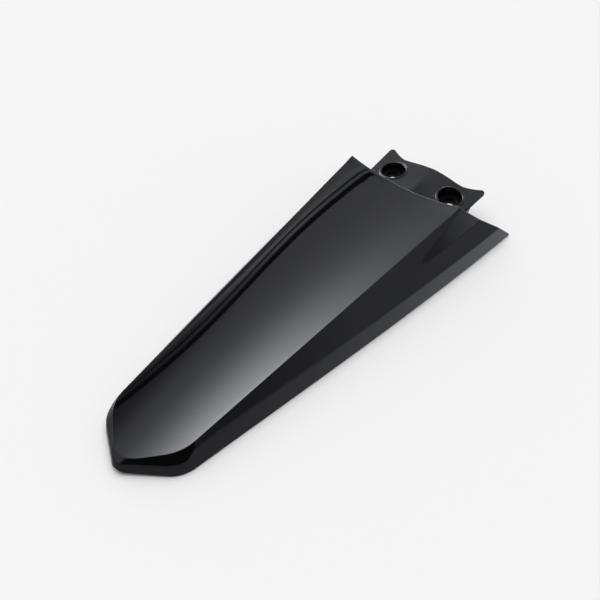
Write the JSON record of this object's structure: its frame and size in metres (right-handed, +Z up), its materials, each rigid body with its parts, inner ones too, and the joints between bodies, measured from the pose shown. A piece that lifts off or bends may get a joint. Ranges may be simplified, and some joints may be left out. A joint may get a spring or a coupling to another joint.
{
  "type": "motorcycle rear mudguard",
  "caption": "Rear mudguard for an off-road motorcycle: a tapered, dished shell with side creases, wings, a pointed tail and a stepped bolt-on tongue.",
  "frame": {"origin": "centre of the bounding box's underside, on the plane that the lower edges of the flanks lie on", "axes": "+Y forward along the machine to the mounting tongue, +Z up through the crown, +X to one side of the symmetry plane"},
  "size_m": [0.1784, 0.4466, 0.0548],
  "materials": {
    "moulding": "high gloss on the crown and flanks, satin on the tongue"
  },
  "bodies": {
    "root": {"rear_mudguard": "moulding"}
  },
  "joints": []
}
